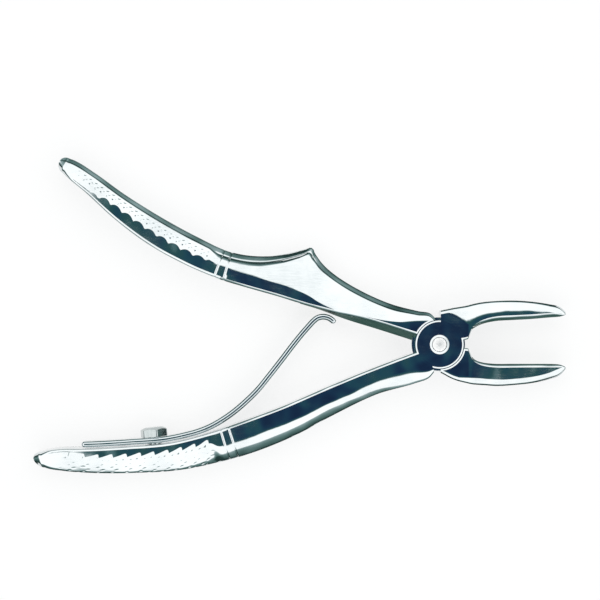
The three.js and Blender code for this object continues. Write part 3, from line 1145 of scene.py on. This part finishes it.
@dataclass
class SpringScrew:
    """The six-sided screw that clamps the strip to the handle."""

    handle: Handle
    along: float = 73.6
    across_flats: float = 6.0
    head_height: float = 2.5
    head_base: float = 1.7
    head_turn: float = 16.0
    shank_radius: float = 1.5
    shank_depth: float = 4.8
    clearance: float = 0.3
    crown: Pairs = ((3.46, 1.62), (2.7, 2.08), (1.9, 2.38), (1.2, 2.5))
    foot: Pairs = ((3.2, 0.0), (3.46, 0.14))
    facet_round: float = 0.3
    shank_chamfer: float = 0.3
    shank_past: float = 0.5
    hole_past: float = 1.0
    blank_length: float = 8.0
    shank_steps: int = 48

    def place(self) -> Matrix:
        """The turn and move that stand the screw on the handle's inner face."""
        seat, leave = self.handle.inner_face(self.along)
        tilt = math.atan2(leave.y, leave.x) - math.pi / 2
        stand = Matrix.Rotation(tilt, 4, "Z") @ Matrix.Rotation(math.radians(-90), 4, "X")
        return Matrix.Translation((seat.x, seat.y, MIDPLANE)) @ stand

    def hole(self) -> bmesh.types.BMesh:
        """The hole that the shank passes through."""
        radius = self.shank_radius + self.clearance
        low, high = -self.shank_depth - self.clearance, self.head_base + self.hole_past
        mesh = turned([(0, low), (radius, low), (radius, high), (0, high)], self.shank_steps)
        bmesh.ops.transform(mesh, matrix=self.place(), verts=mesh.verts)
        return mesh

    def build(self) -> bpy.types.Object:
        """Cuts the domed head to a hexagon and adds the shank."""
        base, height = self.head_base, self.head_height
        side = [(r, base + z) for r, z in (*self.foot, *self.crown)]
        head = blank("spring_screw", turned([(0, base), *side, (0, base + height)]))
        hexagon, corner = bmesh.new(), self.across_flats / math.sqrt(3)
        bmesh.ops.create_cone(
            hexagon,
            cap_ends=True,
            segments=6,
            radius1=corner,
            radius2=corner,
            depth=self.blank_length,
            matrix=Matrix.Rotation(math.radians(self.head_turn), 4, "Z"),
        )
        bmesh.ops.bevel(
            hexagon,
            geom=[edge for edge in hexagon.edges if abs(edge.verts[0].co.z - edge.verts[1].co.z) > 1],
            offset=self.facet_round,
            offset_type="OFFSET",
            segments=4,
            profile=0.5,
            affect="EDGES",
            material=-1,
        )
        work(head, hexagon, Cut.KEEP_SHARED)
        radius, low, top = self.shank_radius, -self.shank_depth, base + self.shank_past
        chamfer = [(radius - self.shank_chamfer, low), (radius, low + self.shank_chamfer)]
        shank = turned([(0, low), *chamfer, (radius, top), (0, top)], self.shank_steps)
        work(head, shank, Cut.JOIN)
        head.data.transform(self.place())
        return head


# ---------------------------------------------------------------- finishes


def linear(colour: str) -> tuple[float, float, float, float]:
    """Turns an sRGB hex colour to linear light.

    Args:
        colour: Six hex digits after a hash.

    Returns:
        Red, green, blue and an alpha of 1.
    """
    parts = [int(colour[k : k + 2], 16) / 255 for k in (1, 3, 5)]
    bent = [p / 12.92 if p <= 0.04045 else ((p + 0.055) / 1.055) ** 2.4 for p in parts]
    return bent[0], bent[1], bent[2], 1.0


def add_node(
    tree: bpy.types.NodeTree, kind: str, links: dict | None = None, **settings: object
) -> bpy.types.Node:
    """Adds a node with its settings, values and links.

    Args:
        tree: The node tree.
        kind: The node's type.
        links: For each input, by name or number, a value or the socket that feeds it.
        settings: Properties of the node.

    Returns:
        The node.
    """
    node = tree.nodes.new(kind)
    for key, value in settings.items():
        setattr(node, key, value)
    for key, value in (links or {}).items():
        if isinstance(value, bpy.types.NodeSocket):
            tree.links.new(value, node.inputs[key])
        else:
            node.inputs[key].default_value = value
    return node


def new_material(name: str) -> tuple[bpy.types.Material, bpy.types.NodeTree, bpy.types.NodeSocket]:
    """Makes an empty node material.

    Args:
        name: Its name.

    Returns:
        The material, its node tree and its Object coordinate.
    """
    material = bpy.data.materials.new(name)
    material.use_nodes = True
    tree = material.node_tree
    tree.nodes.clear()
    return material, tree, add_node(tree, "ShaderNodeTexCoord").outputs["Object"]


@dataclass(frozen=True)
class Steel:
    """A bare steel surface: its tone, its gloss, and the marks that its making left.

    Scales are real sizes in millimetres.
    """

    name: str
    tone: str
    dull_tone: str
    gloss: float
    gloss_spread: float
    hand_wave: float = 0.0
    hand_wave_size: float = 7.0
    hairline: float = 0.0
    hairline_spacing: float = 0.35
    hairline_stretch: tuple[float, float, float] = (0.08, 1.0, 1.0)
    hairline_turn: float = 0.0
    grain: float = 0.0
    grain_size: float = 0.3
    facing: float = 0.0
    facing_spacing: float = 0.4
    facing_reach: float = 7.0
    facing_fade: float = 0.9
    smudge_size: float = 11.0
    edge_tone: str = "#ffffff"

    def material(self) -> bpy.types.Material:
        """Builds the finish's nodes."""
        material, tree, spot = new_material(self.name)
        stretched = add_node(
            tree,
            "ShaderNodeMapping",
            {
                "Vector": spot,
                "Rotation": (0.0, 0.0, math.radians(self.hairline_turn)),
                "Scale": self.hairline_stretch,
            },
        ).outputs["Vector"]
        wave, lines, grain, smudge = (
            add_node(
                tree,
                "ShaderNodeTexNoise",
                {"Vector": where, "Scale": PER_METRE / size, "Detail": detail, "Roughness": rough},
            ).outputs["Fac"]
            for where, size, detail, rough in (
                (spot, self.hand_wave_size, 1.0, 0.4),
                (stretched, self.hairline_spacing, 3.0, 0.6),
                (spot, self.grain_size, 2.0, 0.5),
                (spot, self.smudge_size, 4.0, 0.65),
            )
        )
        rubbed = add_node(
            tree,
            "ShaderNodeMapRange",
            {"Value": smudge, "From Min": 0.35, "From Max": 0.7},
            interpolation_type="SMOOTHSTEP",
        ).outputs["Result"]
        scratched = add_node(
            tree, "ShaderNodeMath", {0: lines, 1: rubbed}, operation="MULTIPLY"
        ).outputs["Value"]
        roughness = add_node(
            tree,
            "ShaderNodeMapRange",
            {
                "Value": scratched,
                "From Min": 0.1,
                "From Max": 0.65,
                "To Min": self.gloss,
                "To Max": self.gloss + self.gloss_spread,
            },
        )
        tone = add_node(
            tree,
            "ShaderNodeMix",
            {"Factor": scratched, "A": linear(self.tone), "B": linear(self.dull_tone)},
            data_type="RGBA",
        )
        bumps: bpy.types.NodeSocket | None = None
        for strength, height, distance in (
            (self.hand_wave, wave, self.hand_wave_size * 0.1),
            (self.hairline, lines, self.hairline_spacing * 0.05),
            (self.grain, grain, self.grain_size * 0.3),
            (self.facing, self._facing(tree, spot), self.facing_spacing * 0.03),
        ):
            if strength:
                links = {"Strength": strength, "Distance": distance * METRES, "Height": height}
                if bumps is not None:
                    links["Normal"] = bumps
                bumps = add_node(tree, "ShaderNodeBump", links).outputs["Normal"]
        shader = add_node(
            tree,
            "ShaderNodeBsdfPrincipled",
            {
                "Base Color": tone.outputs["Result"],
                "Metallic": 1.0,
                "Roughness": roughness.outputs["Result"],
                "Specular Tint": linear(self.edge_tone),
            },
        )
        if bumps is not None:
            tree.links.new(bumps, shader.inputs["Normal"])
        add_node(tree, "ShaderNodeOutputMaterial", {"Surface": shader.outputs["BSDF"]})
        return material

    def _facing(self, tree: bpy.types.NodeTree, spot: bpy.types.NodeSocket) -> bpy.types.NodeSocket:
        """Fine circles about the pin, left by facing the joint, fading out past it."""
        split = add_node(tree, "ShaderNodeSeparateXYZ", {"Vector": spot})
        flat = add_node(
            tree, "ShaderNodeCombineXYZ", {"X": split.outputs["X"], "Y": split.outputs["Y"]}
        )
        radius = add_node(tree, "ShaderNodeVectorMath", {0: flat.outputs["Vector"]}, operation="LENGTH")
        circles = add_node(
            tree,
            "ShaderNodeTexNoise",
            {"W": radius.outputs["Value"], "Scale": PER_METRE / self.facing_spacing, "Detail": 3.0},
            noise_dimensions="1D",
        )
        fade = add_node(
            tree,
            "ShaderNodeMapRange",
            {
                "Value": radius.outputs["Value"],
                "From Min": self.facing_reach * self.facing_fade * METRES,
                "From Max": self.facing_reach * METRES,
                "To Min": 1.0,
                "To Max": 0.0,
            },
        )
        return add_node(
            tree,
            "ShaderNodeMath",
            {0: circles.outputs["Fac"], 1: fade.outputs["Result"]},
            operation="MULTIPLY",
        ).outputs["Value"]


# Forged martensitic stainless, mirror polished by hand on soft wheels: a deep, clean
# reflection that swims a little where the wheel dwelt, with the faintest hairlines.
MIRROR_POLISH = Steel(
    name="forged_stainless_mirror_polished",
    tone="#dde2e3",
    dull_tone="#c3cbcd",
    gloss=0.055,
    gloss_spread=0.11,
    hand_wave=0.5,
    hairline=0.12,
    hairline_turn=20.0,
    facing=0.3,
)
# The gripping faces, and the flank where the spring's hook bears, are ground and left as they came off the
# stone, with a broken, grainy gleam. Their dark teal tone is painted reflection: it stands in for the dark
# surroundings that these steep inner walls reflect.
GROUND_GRIP_AND_PAINTED_REFLECTION = Steel(
    name="forged_stainless_ground_face_painted_dark_reflection",
    tone="#58716e",
    dull_tone="#344845",
    edge_tone="#9aa8a2",
    gloss=0.3,
    gloss_spread=0.2,
    grain=0.5,
    hairline=0.3,
    hairline_stretch=(1.0, 1.0, 0.1),
)
# The pin's ends are riveted over and faced: a fine satin with faint circles.
PIN_FACED = Steel(
    name="stainless_pin_riveted_and_faced",
    tone="#f0f0ef",
    dull_tone="#dcdddd",
    gloss=0.36,
    gloss_spread=0.12,
    grain=0.25,
    grain_size=0.25,
    facing=0.6,
    facing_spacing=0.3,
)
# Cold-rolled stainless strip, bent and then polished along its length.
ROLLED_STRIP = Steel(
    name="stainless_spring_strip_polished",
    tone="#d9dfe1",
    dull_tone="#b9c2c5",
    gloss=0.07,
    gloss_spread=0.1,
    hand_wave=0.3,
    hand_wave_size=9.0,
    hairline=0.25,
    hairline_spacing=0.3,
    hairline_turn=-25.0,
)
# A stainless screw with a milled hexagon and a turned, polished crown.
MILLED_HEAD = Steel(
    name="stainless_screw_milled_hexagon",
    tone="#c3caca",
    dull_tone="#97a2a2",
    gloss=0.12,
    gloss_spread=0.1,
    grain=0.08,
    grain_size=0.4,
    hairline=0.2,
    hairline_spacing=0.25,
    hairline_stretch=(1.0, 0.1, 1.0),
)


# ---------------------------------------------------------------- studio


@dataclass(frozen=True)
class Studio:
    """A pale floor in a light tent, and a camera that looks straight down.

    The tent is white all round. Its roof has a dark opening for the camera, and its
    wall darkens towards the floor.
    """

    aim: tuple[float, float] = (-34.0, 10.85)
    plane: float = 8.0
    height: float = 550.0
    frame_width: float = 146.3
    sensor: float = 36.0
    floor_size: float = 3.0
    floor_tone: str = "#fbfbfb"
    floor_drop: float = 0.05
    tent: tuple[tuple[float, str, float], ...] = (
        (0.0, "#1a2b48", 1.0),
        (4.0, "#1f3a55", 1.0),
        (7.5, "#27505f", 1.0),
        (11.5, "#2d5558", 1.0),
        (14.5, "#587c80", 1.0),
        (18.5, "#ffffff", 1.38),
        (62.0, "#ffffff", 1.38),
        (67.0, "#a3b8b9", 1.0),
        (74.0, "#64827f", 1.0),
        (81.0, "#2f4845", 1.0),
        (90.0, "#233835", 1.0),
    )
    opening_lean: float = 5.0
    floor_glow: float = 0.75

    def build(self) -> None:
        """Sets up the world, the floor, the camera and the colour view."""
        self._tent()
        self._floor()
        self._camera()
        bpy.context.scene.view_settings.view_transform = "Standard"

    def _tent(self) -> None:
        """Lights the scene with the tent, as bands by angle from overhead."""
        world = bpy.data.worlds.new("light_tent")
        bpy.context.scene.world = world
        world.use_nodes = True
        tree = world.node_tree
        tree.nodes.clear()
        way = add_node(tree, "ShaderNodeTexCoord").outputs["Generated"]
        leaned = add_node(
            tree,
            "ShaderNodeVectorRotate",
            {"Vector": way, "Angle": math.radians(-self.opening_lean), "Axis": (0.0, 1.0, 0.0)},
            rotation_type="AXIS_ANGLE",
        )
        split = add_node(tree, "ShaderNodeSeparateXYZ", {"Vector": leaned.outputs["Vector"]})
        angle = add_node(tree, "ShaderNodeMath", {0: split.outputs["Z"]}, operation="ARCCOSINE")
        share = add_node(
            tree, "ShaderNodeMath", {0: angle.outputs["Value"], 1: math.pi / 2}, operation="DIVIDE"
        )
        top = max(level for _, _, level in self.tent)
        bands = add_node(tree, "ShaderNodeValToRGB", {"Fac": share.outputs["Value"]})
        ramp = bands.color_ramp
        while len(ramp.elements) > 1:
            ramp.elements.remove(ramp.elements[-1])
        for k, (degrees, tone, level) in enumerate(self.tent):
            stop = ramp.elements[0] if k == 0 else ramp.elements.new(degrees / 90)
            stop.position = degrees / 90
            stop.color = [part * level / top for part in linear(tone)[:3]] + [1.0]
        light = add_node(
            tree, "ShaderNodeBackground", {"Color": bands.outputs["Color"], "Strength": top}
        )
        add_node(tree, "ShaderNodeOutputWorld", {"Surface": light.outputs["Background"]})

    def _floor(self) -> None:
        """Lays the floor under the forceps."""
        mesh = bmesh.new()
        bmesh.ops.create_grid(mesh, x_segments=8, y_segments=8, size=self.floor_size / 2)
        floor = blank("floor", mesh)
        material, tree, spot = new_material("matt_white_floor")
        mottle = add_node(tree, "ShaderNodeTexNoise", {"Vector": spot, "Scale": 90.0, "Detail": 3.0})
        rough = add_node(
            tree, "ShaderNodeMapRange", {"Value": mottle.outputs["Fac"], "To Min": 0.85, "To Max": 0.95}
        )
        shader = add_node(
            tree,
            "ShaderNodeBsdfPrincipled",
            {
                "Base Color": linear(self.floor_tone),
                "Roughness": rough.outputs["Result"],
                "Specular IOR Level": 0.0,
            },
        )
        path = add_node(tree, "ShaderNodeLightPath")
        share = path.outputs["Is Camera Ray"]
        for other, operation in (
            (path.outputs["Is Glossy Ray"], "MAXIMUM"),
            (path.outputs["Is Transmission Ray"], "MAXIMUM"),
            (self.floor_glow, "MULTIPLY"),
        ):
            node = add_node(tree, "ShaderNodeMath", {0: share, 1: other}, operation=operation)
            share = node.outputs["Value"]
        white = add_node(tree, "ShaderNodeEmission", {"Color": (1.0, 1.0, 1.0, 1.0), "Strength": 1.0})
        mixed = add_node(
            tree,
            "ShaderNodeMixShader",
            {0: share, 1: shader.outputs["BSDF"], 2: white.outputs["Emission"]},
        )
        add_node(tree, "ShaderNodeOutputMaterial", {"Surface": mixed.outputs["Shader"]})
        floor.data.materials.append(material)
        floor.data.transform(Matrix.Translation((0, 0, -self.floor_drop * METRES)))
        floor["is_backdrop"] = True

    def _camera(self) -> None:
        """Hangs the camera over the forceps."""
        data = bpy.data.cameras.new("camera")
        data.sensor_width = self.sensor
        data.lens = self.sensor * self.height / self.frame_width
        data.clip_start, data.clip_end = 0.01, 10.0
        camera = bpy.data.objects.new("camera", data)
        bpy.context.scene.collection.objects.link(camera)
        camera.location = [part * METRES for part in (*self.aim, self.plane + self.height)]
        bpy.context.scene.camera = camera


# ---------------------------------------------------------------- the forceps

PLAIN_SIDE = (Band(0.27, 42.0, 40.5, 2), Band(1.75, 38.0, 32.5, 7))
STEPPED_SIDE = (
    Band(0.25, 42.0, 40.5, 2),
    Band(1.1, 36.5, 34.5, 5),
    Band(0.26, 26.0, 24.0, 2),
    Band(0.5, 41.0, 40.0, 3),
    Band(0.65, 37.0, 31.0, 4),
)
NARROW_SIDE = (
    Band(0.25, 42.0, 40.5, 2),
    Band(0.75, 37.0, 35.5, 5),
    Band(0.1, 37.0, 38.0, 2),
    Band(0.25, 41.0, 40.0, 3),
    Band(0.08, 35.0, 31.0, 4),
)

SPRING_HANDLE = Handle(
    datum=Datum(195.8, 1),
    shares=(0, 0.014, 0.05, 0.15, 0.27, 0.37, 0.47, 0.57, 0.67, 0.77, 0.87, 0.94, 0.98, 1),
    inner=(-0.3, 0, 0.3, 1.2, 2.6, 3.95, 4.8, 5.35, 5, 3.1, 0.85, -0.95, -1.2, -0.7),
    outer=(6.1, 7.1, 7.5, 7.6, 9.7, 11.85, 13, 13.1, 12.2, 10, 7.2, 4.7, 2.7, 0.7),
    depth=(8.6, 8.6, 8.6, 7.9, 7.8, 8.2, 8.6, 8.6, 8.6, 8.55, 8.4, 8.0, 7.4, 6.4),
    flat=Curve(
        (3, 5, 8, 11, 16, 26, 40, 55, 57.6, 60.5, 63, 89, 94, 101),
        (5.0, 4.4, 3.4, 2.75, 2.5, 2.75, 3.2, 3.2, 3.15, 1.0, 0.95, 0.9, 0.25, 0.15),
    ),
    side=Ease((3, 10, 20, 30, 54, 70, 96, 103), (0.35, 0.6, 1.2, 1.8, 2.0, 0.45, 0.4, 1.0)),
    draft=Ease((3, 103), (0.1, 0.1)),
    lift=Ease((57.6, 60.5, 90, 95), (0.0, 0.25, 0.25, 0.0)),
    brow=Ease((3, 58, 60.5, 103), (1.0, 1.0, 13.0, 13.0)),
    shoulder=Ease((3, 58, 72, 103), (29.0, 29.0, 28.0, 27.0)),
    bands=PLAIN_SIDE,
    root_bands=PLAIN_SIDE,
    band_change=Ease((3, 103), (1.0, 1.0)),
    grip=Grip(),
)

SPUR_HANDLE = Handle(
    datum=Datum(154.2, -1),
    shares=(
        0, 0.022, 0.05, 0.12, 0.2, 0.27, 0.31, 0.335, 0.352, 0.37,
        0.41, 0.45, 0.52, 0.62, 0.72, 0.82, 0.91, 0.97, 1,
    ),
    inner=(
        -1.3, -1.8, -2.2, -3.2, -4.4, -5.1, -5.7, -6.1, -6.35, -6.6,
        -7.3, -8, -9.1, -9.6, -9, -7, -4.3, -2.8, -1.6,
    ),
    outer=(
        5, 5.85, 5.1, 3.75, 3.5, 4.2, 5.3, 6.6, 7.75, 6.4,
        3.2, 0.7, -1.7, -2, -1.5, -0.4, 1.15, 1.75, 1.2,
    ),
    depth=(
        8.6, 8.6, 8.6, 7.9, 7.6, 7.5, 7.5, 7.5, 7.5, 7.55,
        7.75, 8, 8.5, 8.6, 8.6, 8.5, 8.2, 7.6, 6.4,
    ),
    flat=Curve(
        (3, 6, 9, 12, 16, 19, 22, 27, 31, 33.5, 36, 43, 50, 55, 57.6, 60.5, 63, 86, 92, 96, 101),
        (
            4, 2.8, 1.7, 0.9, 0.2, 0, 0, 0, 0.8, 1.6, 2.1,
            2.4, 2.5, 2.5, 2.4, 2.1, 2.05, 1.5, 0.5, 0.15, 0.15,
        ),
    ),
    side=Ease((3, 8, 14, 31, 35, 42, 57, 61, 103), (0.6, 1.1, 1.35, 1.4, 1.6, 2.7, 2.7, 1.4, 1.2)),
    draft=Ease((3, 16, 34, 103), (1.7, 1.6, 0.12, 0.1)),
    lift=Ease((57.6, 60.5, 88, 94), (0.0, 0.24, 0.24, 0.0)),
    brow=Ease((3, 8, 14, 40, 54, 58, 60.5, 103), (0.0, 3.0, 12.0, 12.0, 6.0, 6.0, 13.0, 13.0)),
    shoulder=Ease((3, 20, 30, 34, 40, 48, 103), (29.0, 26.0, 20.0, 17.0, 20.0, 29.0, 30.0)),
    bands=STEPPED_SIDE,
    root_bands=NARROW_SIDE,
    band_change=Ease((34.5, 38, 57.5, 60), (0.0, 1.0, 1.0, 0.0)),
    grip=Grip(tooth=Tooth.SCALLOP, tooth_depth=0.23, lean=0.0, nick_depth=0.11, nick_pitch=1.68,
              nick_length=0.38, nick_slant=-40.0, nick_reach=(2.7, 3.4)),
)

SPRING_BEAK = Beak(
    datum=Datum(0, 1),
    corner=8.25,
    stop_angle=8.4,
    inner=(0.52, 1.05, 2.9, 4.15, 4.9, 5.6, 5.9, 6.15, 6.5, 6.7, 6.9),
    outer=(8.9, 9.5, 9.75, 10.1, 10.35, 10.6, 10.7, 10.4, 9.8, 9.15, 8),
    edge=Curve(
        (0.3, 1.5, 3, 4.5, 6, 7, 7.9, 9.4, 11, 14, 18.5, 23, 27, 29.6, 31),
        (7.8, 7.75, 7.45, 6.75, 5.7, 4.95, 4.95, 5.9, 6.7, 7.4, 7.75, 7.85, 7.8, 7.7, 7.75),
    ),
    draft=Ease((0.3, 6, 9, 28, 31), (0.1, 0.2, 0.65, 0.6, 0.15)),
    brow=Ease((0.3, 5, 8, 26, 31), (6.0, 6.0, 2.0, 2.0, 10.0)),
)

SPUR_BEAK = Beak(
    datum=Datum(0, -1),
    corner=6.9,
    stop_angle=7,
    inner=(0.43, 0.86, 2.8, 4, 4.55, 4.9, 4.9, 4.9, 4.9, 5, 5.3),
    outer=(8.55, 9.5, 9.7, 9.85, 9.95, 10.15, 9.9, 9.4, 8.5, 7.6, 6.2),
    edge=Curve(
        (0.3, 2, 3.5, 7, 9.4, 12, 14, 18.5, 23, 27, 29.6, 31),
        (6.5, 7.4, 7.9, 8.1, 8.2, 8.45, 8.6, 8.4, 7.9, 6.9, 5.9, 5.7),
    ),
    draft=Ease((0.3, 31), (0.1, 0.1)),
    brow=Ease((0.3, 31), (11.0, 11.0)),
)


@dataclass
class Forceps:
    """The whole tool: builds its pieces and hands each one to the body it rides on."""

    joint: Joint = field(default_factory=Joint)
    bend_reach: float = 8.0
    # These ranges pick the faces that take the ground finish, with its painted dark reflection.
    ground_and_reflection_beak: tuple[float, float] = (7.2, 31.5)
    ground_and_reflection_flank: tuple[float, float] = (-34.0, -5.0)
    grip_run: tuple[int, int, int] = (61, 99, 3)
    grip_reach: float = 7.6

    def build(self) -> None:
        """Builds, dresses and places every piece."""
        polished, ground_and_painted_reflection = MIRROR_POLISH.material(), GROUND_GRIP_AND_PAINTED_REFLECTION.material()
        screw = SpringScrew(SPRING_HANDLE)
        self._half(SPRING_HANDLE, SPRING_BEAK, Body.SPRING_SIDE, (polished, ground_and_painted_reflection), [screw.hole()])
        self._half(SPUR_HANDLE, SPUR_BEAK, Body.SPUR_SIDE, (polished, ground_and_painted_reflection), [])
        self._pin()
        self._screw(screw)
        self._leaf(screw)

    def _half(
        self,
        handle: Handle,
        beak: Beak,
        body: Body,
        finishes: tuple[bpy.types.Material, bpy.types.Material],
        extra: list[bmesh.types.BMesh],
    ) -> None:
        """Builds one half and sets it on its body."""
        grips = tuple(
            (handle.datum.point(along, handle.middle(along), MIDPLANE), self.grip_reach)
            for along in range(*self.grip_run)
        )
        # Beak walls and the spur handle's flank get the ground finish, with its painted dark reflection.
        picked = [(Vector((0, -beak.datum.outwards, 0)), *self.ground_and_reflection_beak)]
        if body is Body.SPUR_SIDE:
            picked.append((handle.datum.point(0, -1, 0), *self.ground_and_reflection_flank))
        ground_and_painted_reflection = GroundFacesWithPaintedReflection(tuple(picked))
        half = Half(
            name=f"{body.value}_forging",
            handle=handle,
            beak=beak,
            joint=self.joint,
            front=body is Body.SPRING_SIDE,
            ground_and_painted_reflection=ground_and_painted_reflection,
            grips=grips,
        )
        piece = half.build(extra)
        half.dress(piece, finishes)
        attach(piece, body.value)
        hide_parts(f"{body.value}_half")

    def _pin(self) -> None:
        """Builds the joint pin."""
        pin = hand_over(
            blank("riveted_pin", self.joint.pin()), (PIN_FACED.material(),), Shading(crease=20)
        )
        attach(pin, Body.SPRING_SIDE.value)
        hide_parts("joint_pin")

    def _screw(self, screw: SpringScrew) -> None:
        """Builds the spring screw."""
        piece = hand_over(screw.build(), (MILLED_HEAD.material(),), Shading(crease=18))
        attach(piece, Body.SPRING_SIDE.value)
        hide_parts("spring_screw")

    def _leaf(self, screw: SpringScrew) -> None:
        """Builds the leaf spring, which bends between the handle and its own blade."""
        leaf = LeafSpring(SPRING_HANDLE, SPUR_HANDLE)
        piece = blank("leaf_spring", leaf.mesh())
        work(piece, screw.hole(), Cut.REMOVE)
        hand_over(piece, (ROLLED_STRIP.material(),), Shading(crease=40))
        foot_low, foot_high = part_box("leaf_spring_foot")
        blade_low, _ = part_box("leaf_spring_blade")
        pivot = Vector(((foot_high.x + blade_low.x) / 2, foot_high.y, 0)) / METRES
        start, end = leaf.bend_span(pivot, self.bend_reach)
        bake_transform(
            piece,
            Body.SPRING_SIDE.value,
            Body.LEAF_BLADE.value,
            start=tuple(start * METRES),
            end=tuple(end * METRES),
        )
        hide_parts("leaf_spring_foot", "leaf_spring_blade")


def main() -> None:
    """Builds the studio and the forceps, and reports each piece."""
    logging.basicConfig(level=logging.INFO, format="%(name)s: %(message)s")
    Studio().build()
    Forceps().build()
    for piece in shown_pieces():
        log.info("%s rides on %s", piece.name, ", ".join(body_of(piece) or []))


if __name__ == "__main__":
    main()
